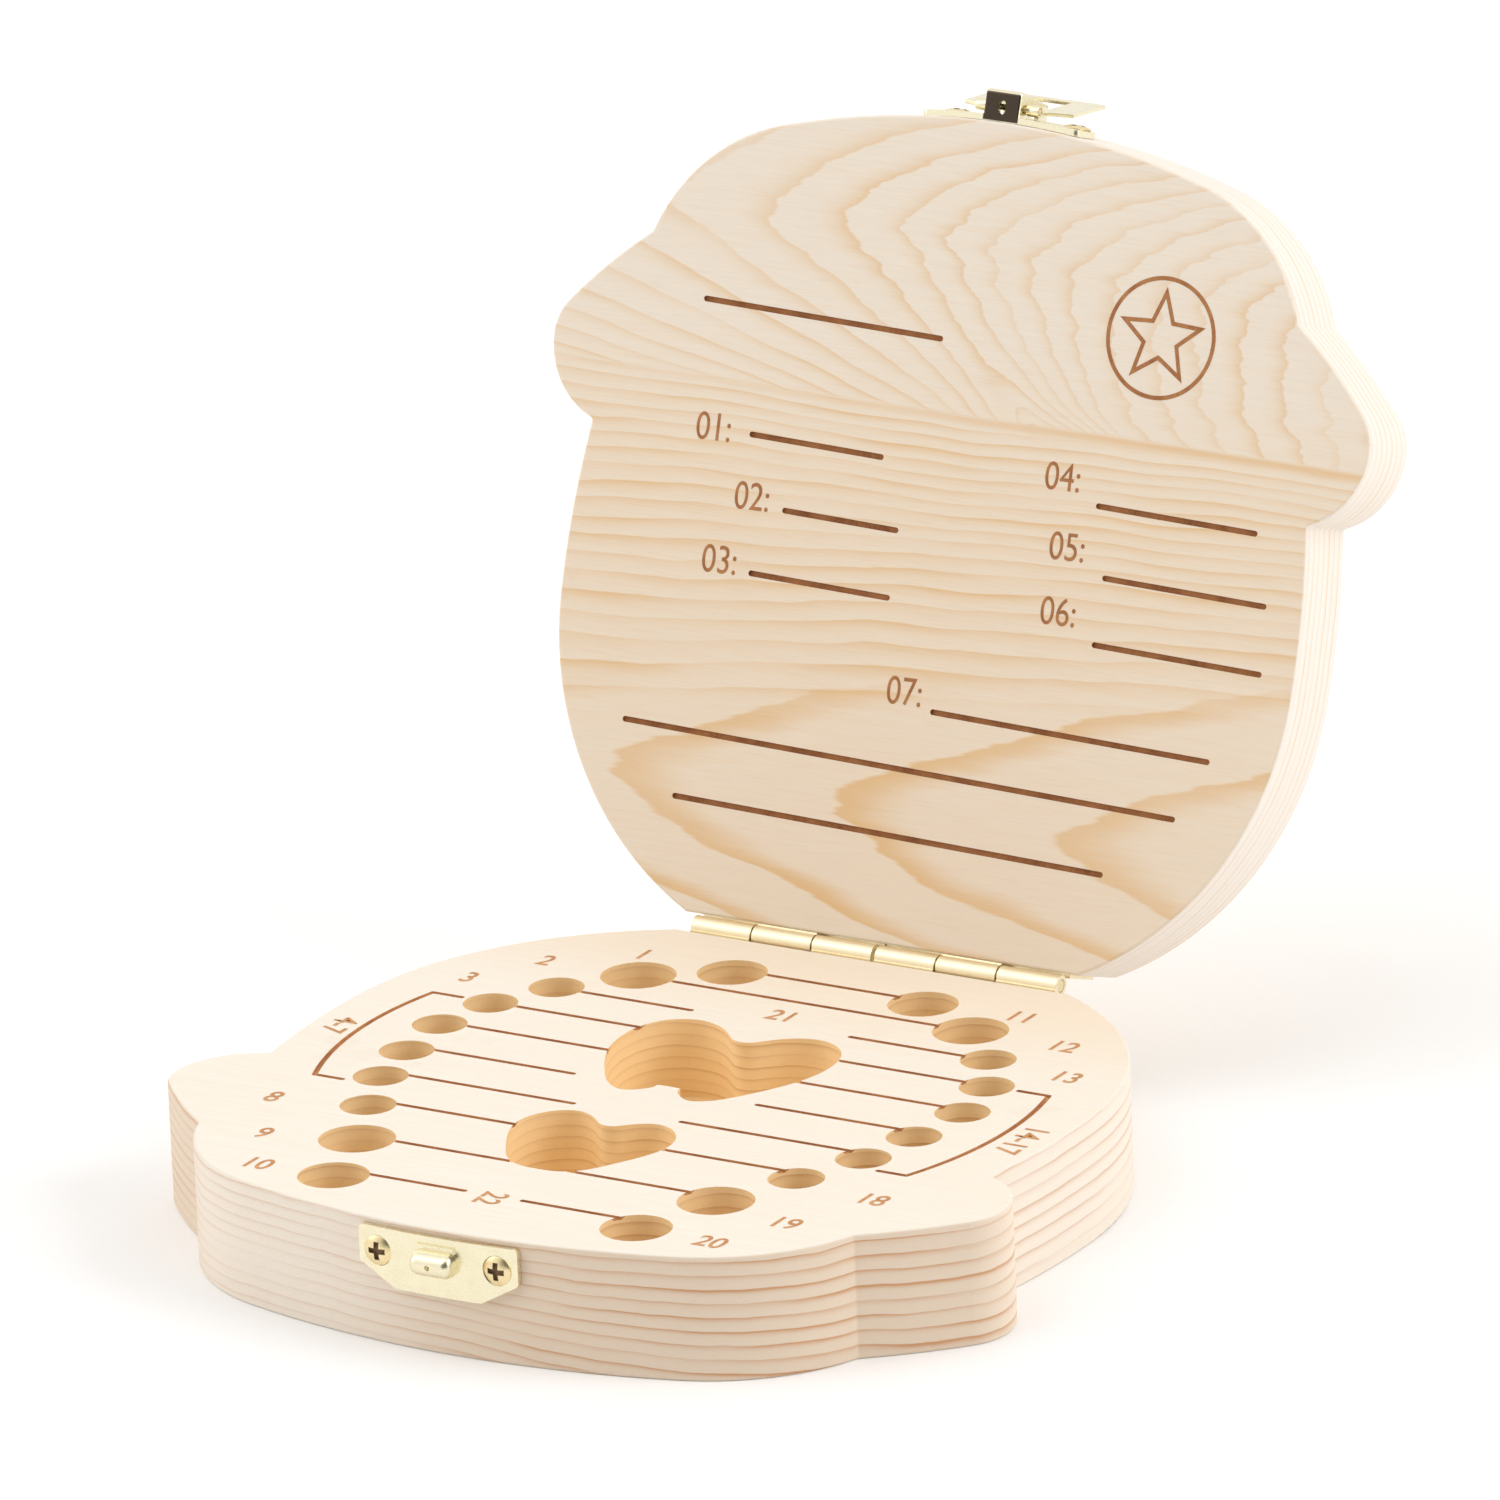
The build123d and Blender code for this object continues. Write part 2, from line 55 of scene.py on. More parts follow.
# How far the lid stands open at rest, and how to get from the shut lid to the open one and back
LID_TURN = math.radians(110)
OPENED = (Matrix.Translation(HINGE) @ Matrix.Rotation(-LID_TURN, 4, "X")
          @ Matrix.Translation(-HINGE))
SHUT = OPENED.inverted()


# Node building

class Value:
    """What a node gives out. Sums, ramps and textures of it add the nodes they need."""

    def __init__(self, tree, socket):
        self.tree = tree
        self.socket = socket

    def __add__(self, other):
        return self.tree.sum("ADD", self, other)

    def __radd__(self, other):
        return self.tree.sum("ADD", other, self)

    def __sub__(self, other):
        return self.tree.sum("SUBTRACT", self, other)

    def __rsub__(self, other):
        return self.tree.sum("SUBTRACT", other, self)

    def __mul__(self, other):
        return self.tree.sum("MULTIPLY", self, other)

    def __truediv__(self, other):
        return self.tree.sum("DIVIDE", self, other)

    def __abs__(self):
        return self.tree.sum("ABSOLUTE", self)

    def at_least(self, other):
        return self.tree.sum("MAXIMUM", self, other)

    def at_most(self, other):
        return self.tree.sum("MINIMUM", self, other)

    def power(self, exponent):
        return self.tree.sum("POWER", self, exponent)

    def logarithm(self):
        return self.tree.sum("LOGARITHM", self, math.e)

    def fraction(self):
        return self.tree.sum("FRACT", self)

    def whole(self):
        return self.tree.sum("FLOOR", self)

    def clamped(self):
        """The sum just made, kept between nought and one."""
        self.socket.node.use_clamp = True
        return self

    def ramp(self, low, high, to_low=0.0, to_high=1.0, smooth=False):
        """Goes from one number to another while this goes from low to high, and no further."""
        node = self.tree.add("MapRange", interpolation_type="SMOOTHSTEP" if smooth else "LINEAR")
        ends = {"Value": self, "From Min": low, "From Max": high,
                "To Min": to_low, "To Max": to_high}
        for name, value in ends.items():
            self.tree.put(node.inputs[name], value)
        return Value(self.tree, node.outputs["Result"])

    def noise(self, scale, detail, roughness=0.5):
        node = self.tree.add("TexNoise")
        settings = {"Vector": self, "Scale": scale, "Detail": detail, "Roughness": roughness}
        for name, value in settings.items():
            self.tree.put(node.inputs[name], value)
        return Value(self.tree, node.outputs["Fac"])

    def mapped(self, kind="POINT", **inputs):
        """The vector with a location, rotation or scale of its own."""
        node = self.tree.add("Mapping", vector_type=kind)
        self.tree.put(node.inputs["Vector"], self)
        for name, value in inputs.items():
            self.tree.put(node.inputs[name.capitalize()], value)
        return Value(self.tree, node.outputs["Vector"])

    def split(self):
        node = self.tree.add("SeparateXYZ")
        self.tree.put(node.inputs[0], self)
        return [Value(self.tree, socket) for socket in node.outputs]


class Tree:
    """The nodes of a material or world, cleared, with short ways to add new ones."""

    def __init__(self, owner):
        owner.use_nodes = True
        self.nodes = owner.node_tree.nodes
        self.links = owner.node_tree.links
        self.nodes.clear()

    def add(self, kind, **settings):
        node = self.nodes.new("ShaderNode" + kind)
        for name, value in settings.items():
            setattr(node, name, value)
        return node

    def put(self, socket, value):
        """Links a Value to the socket, or sets the socket to a constant."""
        if isinstance(value, Value):
            self.links.new(value.socket, socket)
        else:
            socket.default_value = value

    def fill(self, node, values):
        for socket, value in zip(node.inputs, values):
            self.put(socket, value)

    def sum(self, operation, *values):
        node = self.add("Math", operation=operation)
        self.fill(node, values)
        return Value(self, node.outputs[0])

    def vector(self, operation, output, *values):
        node = self.add("VectorMath", operation=operation)
        self.fill(node, values)
        return Value(self, node.outputs[output])

    def join(self, x, y, z):
        node = self.add("CombineXYZ")
        self.fill(node, (x, y, z))
        return Value(self, node.outputs[0])

    def blend(self, factor, a, b):
        """A number between a and b."""
        return self.sum("ADD", self.sum("MULTIPLY", b, factor),
                        self.sum("MULTIPLY", a, self.sum("SUBTRACT", 1.0, factor)))

    def mix(self, factor, a, b):
        """A colour between a and b."""
        node = self.add("Mix", data_type="RGBA")
        sockets = {socket.identifier: socket for socket in node.inputs}
        self.put(sockets["Factor_Float"], factor)
        for name, colour in (("A_Color", a), ("B_Color", b)):
            self.put(sockets[name], colour if isinstance(colour, Value) else (*colour, 1.0))
        return Value(self, next(s for s in node.outputs if s.identifier == "Result_Color"))

    def coordinates(self, output):
        return Value(self, self.add("TexCoord").outputs[output])

    def millimetres(self, place):
        return self.vector("MULTIPLY", "Vector", place, (1000, 1000, 1000))


class Surface(Tree):
    """A material's nodes, which end in one shader."""

    def __init__(self, name):
        self.material = bpy.data.materials.new(name)
        super().__init__(self.material)
        self.shader = self.add("BsdfPrincipled")
        output = self.add("OutputMaterial")
        self.links.new(self.shader.outputs["BSDF"], output.inputs["Surface"])

    def finish(self, colour, roughness, specular=0.5, metallic=0.0):
        settings = {"Base Color": colour, "Roughness": roughness,
                    "Specular IOR Level": specular, "Metallic": metallic}
        for name, value in settings.items():
            self.put(self.shader.inputs[name], value)

    def bump(self, height, strength, distance):
        node = self.add("Bump")
        settings = {"Height": height, "Strength": strength, "Distance": distance}
        for name, value in settings.items():
            self.put(node.inputs[name], value)
        self.links.new(node.outputs[0], self.shader.inputs["Normal"])

    def own_place(self):
        """The point in millimetres, as the object stands at rest."""
        return self.millimetres(self.coordinates("Object"))

    def board_place(self, lid):
        """The point in millimetres and the surface's direction, both with the lid shut."""
        place, facing = self.coordinates("Object"), self.coordinates("Normal")
        if lid:
            turn = (LID_TURN, 0, 0)
            shift = HINGE - Matrix.Rotation(LID_TURN, 3, "X") @ HINGE
            place = place.mapped(location=shift, rotation=turn)
            facing = facing.mapped("VECTOR", rotation=turn)
        return self.millimetres(place), facing


# Pine. Lengths in the patterns are millimetres; x runs to the right, along the grain

EARLY_WOOD = (0.87, 0.775, 0.66)
WARM_WOOD = (0.86, 0.69, 0.50)
LATE_WOOD = (0.62, 0.36, 0.165)
OCHRE_WOOD = (0.78, 0.49, 0.21)
CUT_WOOD = (0.95, 0.72, 0.41)
CUT_LATE_WOOD = (0.62, 0.33, 0.12)
SIDE_WOOD = (0.785, 0.645, 0.505)
# The sides' colour with light painted in, where the sides are made paler
PAINTED_LIGHT_SIDE_WOOD = (0.87, 0.775, 0.665)
SIDE_LATE_WOOD = (0.61, 0.33, 0.165)
TOP_WOOD = (0.862, 0.805, 0.71)
LID_SIDE_WOOD = (0.88, 0.81, 0.735)

# The height from which the side rings of both boards are counted, and how narrow their lines are
RING_LEVEL = 16.0
SIDE_RING_SHARPNESS = 5.0


def finish_pine(tree, colour, hair, lines):
    """Hardly glossy, with the hair and a little of the lines raised as grain."""
    grain = tree.blend(0.35, hair, lines)
    tree.finish(colour, grain.ramp(0.0, 1.0, 0.52, 0.66), specular=0.35)
    tree.bump(grain, 0.25, 0.12 * MM)
    return tree.material


def fibres(place):
    """Fine streaks and finer hair along the boards' grain, which runs across the box."""
    fine = place.mapped(scale=(0.05, 1.6, 1.6)).noise(1.0, detail=4.0, roughness=0.6)
    hair = place.mapped(scale=(0.16, 5.5, 5.5)).noise(1.0, detail=2.0, roughness=0.6)
    return fine, hair


def level_share(facing):
    """One on faces that lie flat, and nothing on upright ones."""
    _, _, up = facing.split()
    return abs(up).ramp(0.55, 0.85, smooth=True)


def ring_line(phase, sharpness):
    """Late wood of each growth ring: it deepens slowly and ends in a crisp edge."""
    part = phase.fraction()
    return part.power(sharpness) * part.ramp(0.93, 1.0, 1.0, 0.0, smooth=True)


def side_rings(place, spacing, wave, start, widening=1.0):
    """Growth rings that lie nearly flat in the board, wider apart at its right by widening."""
    x, y, z = place.split()
    slow = place.tree.join(x * 0.014, y * 0.020, start).noise(1.0, detail=1.0)
    small = place.mapped(scale=(0.10, 0.10, 0.06)).noise(1.0, detail=3.0)
    height = z + (slow - 0.5) * wave + (small - 0.5) * 0.9
    return (height - RING_LEVEL) / x.ramp(0.0, 55.0, spacing, spacing * widening)


def ring_strength(place, scale, low, high):
    """No two rings are equally dark, and each one fades and deepens along its way."""
    return place.mapped(scale=scale).noise(1.0, detail=2.0).ramp(0.3, 0.7, low, high)


def line_strength(phase, x, low, high):
    """The same, for lines that are told apart by the whole part of their phase."""
    spot = phase.tree.join(phase.whole() * 3.7, x * 0.035, 0.0)
    return spot.noise(1.0, detail=1.0).ramp(0.32, 0.68, low, high)


def pale_zone(x, y):
    """Painted light: where the tray's sides are made paler, left of the catch, short of the brim,
    and right behind.
    """
    left = x.ramp(12.0, -22.0, smooth=True) * x.ramp(-50.0, -38.0, smooth=True)
    right = y.ramp(-26.0, 0.0, smooth=True) * x.ramp(0.0, 10.0)
    return left.at_least(right)


def pine_tray(name, cut=False):
    """The tray's pine: flat rings on its sides, hardly a figure on top. Cut is inside its bores."""
    tree = Surface(name)
    place, facing = tree.board_place(lid=False)
    x, y, _ = place.split()
    fine, hair = fibres(place)
    # Where light is painted on the sides
    pale = pale_zone(x, y)
    flat = level_share(facing)

    phase = side_rings(place, spacing=1.5, wave=2.2, start=0.3, widening=1.35)
    rings = ring_line(phase, SIDE_RING_SHARPNESS)
    rings = rings * ring_strength(place, (0.025, 0.03, 0.60), 0.1, 1.35)
    rings = (rings * x.ramp(5.0, 50.0, 0.95, 1.9)).clamped()
    # The rings are fainter where light is painted on the sides
    rings = (rings * tree.blend(flat, pale.ramp(0.0, 1.0, 1.0, 0.6), 0.2)).clamped()

    if cut:
        colour, late = CUT_WOOD, CUT_LATE_WOOD
    else:
        colour = tree.mix(fine.ramp(0.35, 0.75, 0.0, 0.28), TOP_WOOD, WARM_WOOD)
        colour = tree.mix(y.ramp(22.0, 48.0, 0.0, 0.45, smooth=True), colour, WARM_WOOD)
        # Painted light: the sides are paler left of the catch and right behind
        colour = tree.mix(flat, tree.mix(pale, SIDE_WOOD, PAINTED_LIGHT_SIDE_WOOD), colour)
        late = tree.mix(flat, SIDE_LATE_WOOD, LATE_WOOD)
    colour = tree.mix(rings, colour, late)
    colour = tree.mix(hair.ramp(0.5, 0.9, 0.0, 0.18), colour, late)
    return finish_pine(tree, colour, hair, rings)


# The figure of the lid. Out is the distance from the hinge's axis towards the lid's free edge.
# Wobble bends the lines, and teeth frays them. Each figure is a phase that changes by one from
# line to line

# The crown's arches: how far out their tips lie, how that shrinks to the right, and how far in
# from there they fan out
ARCH_OUT = 91.0
ARCH_TILT = 0.10
FAN_DEPTH = 21.5
# How the fan leans and draws together for each millimetre
FAN_LEAN = 0.62
FAN_NARROWING = 0.036
# How far left of the middle the arches are counted from, how far apart they are to the right of
# there, and how they thin out to the left
ARCH_START = 4.0
ARCH_SPACING = 6.3
LEFT_SPREAD = 24.0
LEFT_ARCHES = 4.0
# The chin's tongues: how far out their tips lie, how far left of the middle they are counted
# from, and how far apart they are
TONGUE_OUT = 19.5
TONGUE_START = 44.0
TONGUE_SPACING = 33.0
# How far out the lines across the middle are counted from
MIDDLE_OUT = 30.0


def crown_figure(x, out, wobble, teeth):
    """Arches whose tips point left, which fan out flat towards the middle of the lid."""
    off = out - ARCH_OUT + wobble * 5.0
    off = off + x.at_least(0.0) * ARCH_TILT
    inner = (off * -1.0).at_least(0.0).at_most(FAN_DEPTH)
    outer = off.at_least(0.0)

    def fan(start):
        return (start - inner * FAN_LEAN) / (1.0 - inner * FAN_NARROWING)

    steep = fan(x).ramp(-15.0, 0.0, 0.0, 0.0013, smooth=True)
    moved = x - steep * inner.power(3.0)
    tip = fan(moved).at_most(moved)
    drop = outer * 0.45 + outer * outer * 0.085
    tip = tip - drop + teeth * 5.5
    right = (tip + ARCH_START).at_least(0.0) / ARCH_SPACING
    left = (-ARCH_START - tip).at_least(0.0) / LEFT_SPREAD
    return right - (left + 1.0).logarithm() * LEFT_ARCHES


def middle_figure(x, out, wobble, teeth):
    """Lines nearly straight across, closer together towards the crown."""
    slope = out.ramp(30.0, 68.0, -0.095, -0.018)
    level = out + x * slope + wobble * 5.0
    level = level - MIDDLE_OUT + teeth * 0.9
    return level * (0.27 + level * 0.005)


def chin_figure(x, out, wobble, teeth):
    """Broad tongues that point left."""
    off = out - TONGUE_OUT + wobble * 7.0
    inner = (off * -1.0).at_least(0.0)
    outer = off.at_least(0.0)
    rise = inner * (0.5 + inner * 0.14)
    fall = outer * (1.9 + outer * 0.045)
    return (x - rise - fall + teeth * 9.0 + TONGUE_START) / TONGUE_SPACING


def lid_lines(tree, place, x, out):
    """The lines of all three figures, with the seam under the crown."""
    wobble = place.mapped(scale=(0.022, 0.032, 0.0)).noise(1.0, detail=2.0) - 0.5
    teeth = place.mapped(scale=(0.045, 0.42, 0.0)).noise(1.0, detail=3.0) - 0.5

    arches = crown_figure(x, out, wobble, teeth)
    crown_lines = ring_line(arches, 4.4) * line_strength(arches, x, 0.3, 1.0)
    across = middle_figure(x, out, wobble, teeth)
    middle_lines = ring_line(across, 2.2) * line_strength(across, x, 0.3, 1.1)
    tongues = chin_figure(x, out, wobble, teeth)
    part = tongues.fraction()
    chin_lines = part.ramp(0.0, 0.05, smooth=True) * part.ramp(0.40, 0.04, smooth=True)
    chin_lines = chin_lines * line_strength(tongues, x, 0.7, 1.0)

    edge = out + wobble * 1.2
    seam = edge.ramp(68.3, 69.4, smooth=True) * edge.ramp(70.2, 69.4, smooth=True)
    crown = edge.ramp(69.2, 70.2, smooth=True)
    chin = (out - x * 0.13).ramp(37.0, 29.0, smooth=True)
    lines = tree.blend(crown, middle_lines, crown_lines)
    lines = tree.blend(chin, lines, chin_lines)
    return lines.at_least(seam * x.ramp(-40.0, 30.0, 0.2, 0.8))


def pine_lid(name):
    """The lid's pine: arches at the crown, close lines across the middle, broad tongues below."""
    tree = Surface(name)
    place, facing = tree.board_place(lid=True)
    x, y, _ = place.split()
    out = HINGE.y / MM - y
    lines = lid_lines(tree, place, x, out)
    flat = level_share(facing)

    rings = ring_line(side_rings(place, spacing=1.35, wave=1.5, start=4.7), SIDE_RING_SHARPNESS)
    rings = rings * ring_strength(place, (0.022, 0.03, 0.55), 0.15, 1.35)
    marks = tree.blend(flat, rings * 0.8, lines * 0.85).at_most(1.0).at_least(0.0)

    fine, hair = fibres(place)
    warm = fine.ramp(0.35, 0.75, 0.0, 0.25) + out.ramp(78.0, 60.0, 0.0, 0.45)
    colour = tree.mix(warm, EARLY_WOOD, WARM_WOOD)
    colour = tree.mix(flat, LID_SIDE_WOOD, colour)
    colour = tree.mix(marks, colour, OCHRE_WOOD)
    colour = tree.mix(hair.ramp(0.5, 0.9, 0.0, 0.20), colour, LATE_WOOD)
    return finish_pine(tree, colour, hair, marks)


def burnt_wood(name, deep, light, skipped):
    """The laser's brown, in deep and light patches, with pale specks where it skips."""
    tree = Surface(name)
    place = tree.own_place()
    patches = place.noise(0.35, detail=3.0)
    specks = place.noise(2.4, detail=3.0, roughness=0.7)
    colour = tree.mix(patches.ramp(0.35, 0.65), deep, light)
    colour = tree.mix(specks.ramp(0.45, 0.8, 0.0, 0.5), colour, skipped)
    tree.finish(colour, 0.8, specular=0.2)
    tree.bump(specks, 0.3, 0.1 * MM)
    return tree.material


# Metal

# What tarnish leaves of each channel of the brass
TARNISH = (0.74, 0.66, 0.52)
# A dark reflection is painted on the tower's flat front, as a dull brown
# The tower's flat front with the lid shut, in millimetres: where it fades out in height, in depth
# and on both sides of the middle
FRONT_HEIGHT = (18.32, 18.24)
FRONT_DEPTH = (-52.87, -52.95)
FRONT_SIDE = (2.62, 2.5)
# The brown of the dark reflection that is painted on the tower's front
PAINTED_REFLECTION_BROWN = (0.07, 0.052, 0.038)


def tower_front(tree):
    """One on the flat front of the tower, where a dark reflection is painted, and nothing
    elsewhere.
    """
    x, y, z = tree.board_place(lid=True)[0].split()
    front = z.ramp(*FRONT_HEIGHT, smooth=True) * y.ramp(*FRONT_DEPTH, smooth=True)
    return front * abs(x).ramp(*FRONT_SIDE, smooth=True)


def brass(name, tone, roughness, streak=(0.3, 2.5, 2.5), tarnish=0.12, painted_dark_reflection=False):
    """Pale plated brass with fine drawn lines and faint cloudy tarnish, and on request a painted
    dark reflection on the tower's front.
    """
    tree = Surface(name)
    place = tree.own_place()
    clouds = place.noise(0.45, detail=4.0, roughness=0.6)
    drawn = place.mapped(scale=streak).noise(3.0, detail=3.0, roughness=0.7)
    specks = place.noise(5.0, detail=2.0, roughness=0.8)
    dark = tuple(channel * share for channel, share in zip(tone, TARNISH))
    colour = tree.mix(clouds.ramp(0.38, 0.72, 0.0, tarnish), tone, dark)
    colour = tree.mix(specks.ramp(0.68, 0.82, 0.0, tarnish), colour, dark)
    if painted_dark_reflection:
        # Painted reflection: the tower's flat front is darkened to a dull brown
        colour = tree.mix(tower_front(tree), colour, PAINTED_REFLECTION_BROWN)
    wear = (clouds + drawn) * 0.5
    worn = wear.ramp(0.3, 0.7, roughness - 0.06, roughness + 0.12)
    tree.finish(colour, worn, metallic=1.0)
    tree.bump(drawn, 0.07, 0.03 * MM)
    return tree.material


def slot_shade(name):
    """Painted shade: a dull brown put in the screws' slots."""
    tree = Surface(name)
    specks = tree.own_place().noise(3.0, detail=2.0)
    tree.finish(tree.mix(specks, (0.17, 0.105, 0.052), (0.26, 0.165, 0.085)), 0.7, specular=0.2)
    return tree.material


# Pieces that stand for CAD nodes

# Places in a piece's list of materials, after its main one: a board's, and a screw's
BURNT, BORED = 1, 2
# A screw's second material paints shade into its slot
SLOT = 1

# How far the floor of a groove may lie off its depth
FLOOR_SLACK = 0.03 * MM
# What tells the bores' walls and floors from the tray's outside: they stay this far above the
# underside, floors lie this far below the top, and walls this near to the middle line
ABOVE_UNDERSIDE = 4 * MM
BELOW_TOP = 2 * MM
SHORT_OF_ENDS = 51.5 * MM
# Which share of a face's direction is upright, for faces that lie flat and that stand upright
LYING = 0.9
STANDING = 0.3

# The points of a screw's tip are this near to being the farthest from its middle
SCREW_END = 0.2 * MM
# Where a screw's slot is: how far down from the head's top it reaches, how far down its floor
# lies at least, and how much of the head's radius it takes up
SLOT_REACH = 0.75 * MM
SLOT_FLOOR = 0.45 * MM
SLOT_SHARE = 0.62

# Points of a CAD mesh this near are one; faces that meet at less than this angle are one
SAME_POINT = 1e-6
SAME_PLANE = math.radians(0.5)
# Edges that turn more than the first are eased; those that turn more than the second show
EASED_EDGE = math.radians(38)
SHADED_EDGE = math.radians(32)


def stand_in(node, body, data):
    piece = bpy.data.objects.new(node + "_look", data)
    bpy.context.scene.collection.objects.link(piece)
    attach(piece, body)
    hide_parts(node)
    return piece


def board(node, body, materials, face_z, inward, matrix):
    """A copy of a wooden CAD node whose grooves are burnt, and whose bores may differ."""
    data = frame["nodes"][node].data.copy()
    data.materials.clear()
    for material in materials:
        data.materials.append(material)
    mark_engraving(data, face_z, inward, matrix)
    if len(materials) > BORED:
        mark_bores(data, face_z, inward, matrix)
    stand_in(node, body, data)


def seen_shut(data, matrix):
    """Each face with its direction and its corners' places as they are with the lid shut."""
    places = [matrix @ vert.co for vert in data.vertices]
    turn = matrix.to_3x3()
    return [(face, turn @ face.normal, [places[v] for v in face.vertices])
            for face in data.polygons]


def near_face(corners, face_z, inward):
    """Whether no corner lies deeper in the board than a groove does."""
    return all((place.z - face_z) * inward < ENGRAVING_DEPTH + FLOOR_SLACK for place in corners)


def mark_engraving(data, face_z, inward, matrix):
    """Gives the burnt material to the grooves' floors, and to the walls that rise from them."""
    faces = seen_shut(data, matrix)
    floor_z = face_z + inward * ENGRAVING_DEPTH
    floors = set()
    for face, facing, corners in faces:
        level = all(abs(place.z - floor_z) < FLOOR_SLACK for place in corners)
        if level and facing.z * inward < -LYING:
            face.material_index = BURNT
            floors.update(nearest_micron(place) for place in corners)
    for face, facing, corners in faces:
        if face.material_index != BURNT and abs(facing.z) <= STANDING:
            on_floor = any(nearest_micron(place) in floors for place in corners)
            if on_floor and near_face(corners, face_z, inward):
                face.material_index = BURNT


def mark_bores(data, face_z, inward, matrix):
    """Gives the bored material to the walls and floors of bores and pockets."""
    for face, facing, corners in seen_shut(data, matrix):
        if face.material_index == BURNT or near_face(corners, face_z, inward):
            continue
        low = min(place.z for place in corners)
        inside = all(abs(place.y) < SHORT_OF_ENDS for place in corners)
        wall = abs(facing.z) <= STANDING and inside and low > ABOVE_UNDERSIDE
        bottom = facing.z > LYING and ABOVE_UNDERSIDE < low < face_z - BELOW_TOP
        if wall or bottom:
            face.material_index = BORED


def nearest_micron(place):
    return tuple(round(c * 1e6) for c in place)


def loose_parts(mesh):
    """The separate solids of a mesh, each as a list of its vertices."""
    left = dict.fromkeys(mesh.verts)
    parts = []
    while left:
        part, queue = [], [left.popitem()[0]]
        while queue:
            vert = queue.pop()
            part.append(vert)
            for edge in vert.link_edges:
                other = edge.other_vert(vert)
                if other in left:
                    del left[other]
                    queue.append(other)
        parts.append(part)
    return parts


def mark_slots(mesh):
    """Gives the faces of each screw's cross slot the material with the slots' painted shade."""
    for part in loose_parts(mesh):
        middle = sum((vert.co for vert in part), Vector()) / len(part)
        reach = max((vert.co - middle).length for vert in part)
        end = [vert.co for vert in part if (vert.co - middle).length > reach - SCREW_END]
        axis = (middle - sum(end, Vector()) / len(end)).normalized()
        top = max((vert.co - middle).dot(axis) for vert in part)
        head = max(off_axis(vert.co - middle, axis) for vert in part)
        for face in {face for vert in part for face in vert.link_faces}:
            away = face.calc_center_median() - middle
            depth = top - away.dot(axis)
            within = off_axis(away, axis) < SLOT_SHARE * head and depth < SLOT_REACH
            wall = abs(face.normal.dot(axis)) < STANDING
            if within and (wall or depth > SLOT_FLOOR):
                face.material_index = SLOT


def off_axis(place, axis):
    return (place - axis * place.dot(axis)).length


def fitting(node, body, material, bevel, slotted=False):
    """A copy of a metal CAD node with its edges eased, so that they catch the light."""
    mesh = bmesh.new()
    mesh.from_mesh(frame["nodes"][node].data)
    bmesh.ops.remove_doubles(mesh, verts=mesh.verts, dist=SAME_POINT)
    bmesh.ops.dissolve_limit(mesh, angle_limit=SAME_PLANE, verts=mesh.verts, edges=mesh.edges)
    sharp = [edge for edge in mesh.edges
             if len(edge.link_faces) == 2 and edge.calc_face_angle(0) > EASED_EDGE]
    bmesh.ops.bevel(mesh, geom=sharp, offset=bevel, segments=2, profile=0.6,
                    affect="EDGES", clamp_overlap=True)
    bmesh.ops.recalc_face_normals(mesh, faces=mesh.faces)
    for face in mesh.faces:
        face.smooth = True
        face.material_index = 0
    if slotted:
        mark_slots(mesh)
    data = bpy.data.meshes.new(node + "_look")
    data.materials.append(material)
    if slotted:
        data.materials.append(slot_painted_shade)
    mesh.to_mesh(data)
    mesh.free()
    data.set_sharp_from_angle(angle=SHADED_EDGE)
    piece = stand_in(node, body, data)
    piece.modifiers.new("flat_faces", "WEIGHTED_NORMAL").keep_sharp = True


tray_pine = pine_tray("tray_pine")
bored_pine = pine_tray("bored_pine", cut=True)
lid_pine = pine_lid("lid_pine")
lid_burnt = burnt_wood("lid_burnt", (0.33, 0.125, 0.048), (0.47, 0.21, 0.082), (0.56, 0.29, 0.125))
tray_burnt = burnt_wood("tray_burnt", (0.48, 0.21, 0.085), (0.62, 0.32, 0.14), (0.72, 0.45, 0.23))
plate_brass = brass("plate_brass", (0.88, 0.81, 0.59), 0.24)
# The latch's brass, with a dark reflection painted on the tower's flat front
tower_brass_painted_reflection = brass("tower_brass_painted_reflection", (0.88, 0.81, 0.59), 0.24, painted_dark_reflection=True)
hinge_brass = brass("hinge_brass", (0.94, 0.83, 0.58), 0.32)
screw_brass = brass("screw_brass", (0.88, 0.73, 0.43), 0.26, streak=(2.0, 2.0, 2.0), tarnish=0.4)
# Shade painted into the screws' slots
slot_painted_shade = slot_shade("slot_painted_shade")
pin_brass = brass("pin_brass", (0.88, 0.74, 0.46), 0.28)

# How wide the eased edges are
LEAF_EDGE = PLATE_EDGE = 0.12 * MM
PIN_EDGE = HASP_EDGE = 0.1 * MM
TOWER_EDGE = 0.08 * MM
SCREW_EDGE = 0.05 * MM

board("tray_body", "tray", [tray_pine, tray_burnt, bored_pine],
      TRAY_TOP, -1, Matrix.Identity(4))
board("lid_body", "lid", [lid_pine, lid_burnt], LID_FACE, 1, SHUT)
for side in ("left", "right"):
    fitting(side + "_hinge_tray_leaf", "tray", hinge_brass, LEAF_EDGE)
    fitting(side + "_hinge_lid_leaf", "lid", hinge_brass, LEAF_EDGE)
    fitting(side + "_hinge_pin", "tray", pin_brass, PIN_EDGE)
    for node, body in [(side + "_hinge_tray_screws", "tray"), (side + "_hinge_lid_screws", "lid"),
                       ("catch_" + side + "_screw", "tray"), ("latch_" + side + "_screw", "lid")]:
        fitting(node, body, screw_brass, SCREW_EDGE, slotted=True)
fitting("catch_plate", "tray", plate_brass, PLATE_EDGE)
fitting("latch_plate", "lid", tower_brass_painted_reflection, TOWER_EDGE)
fitting("latch_hasp", "hasp", plate_brass, HASP_EDGE)
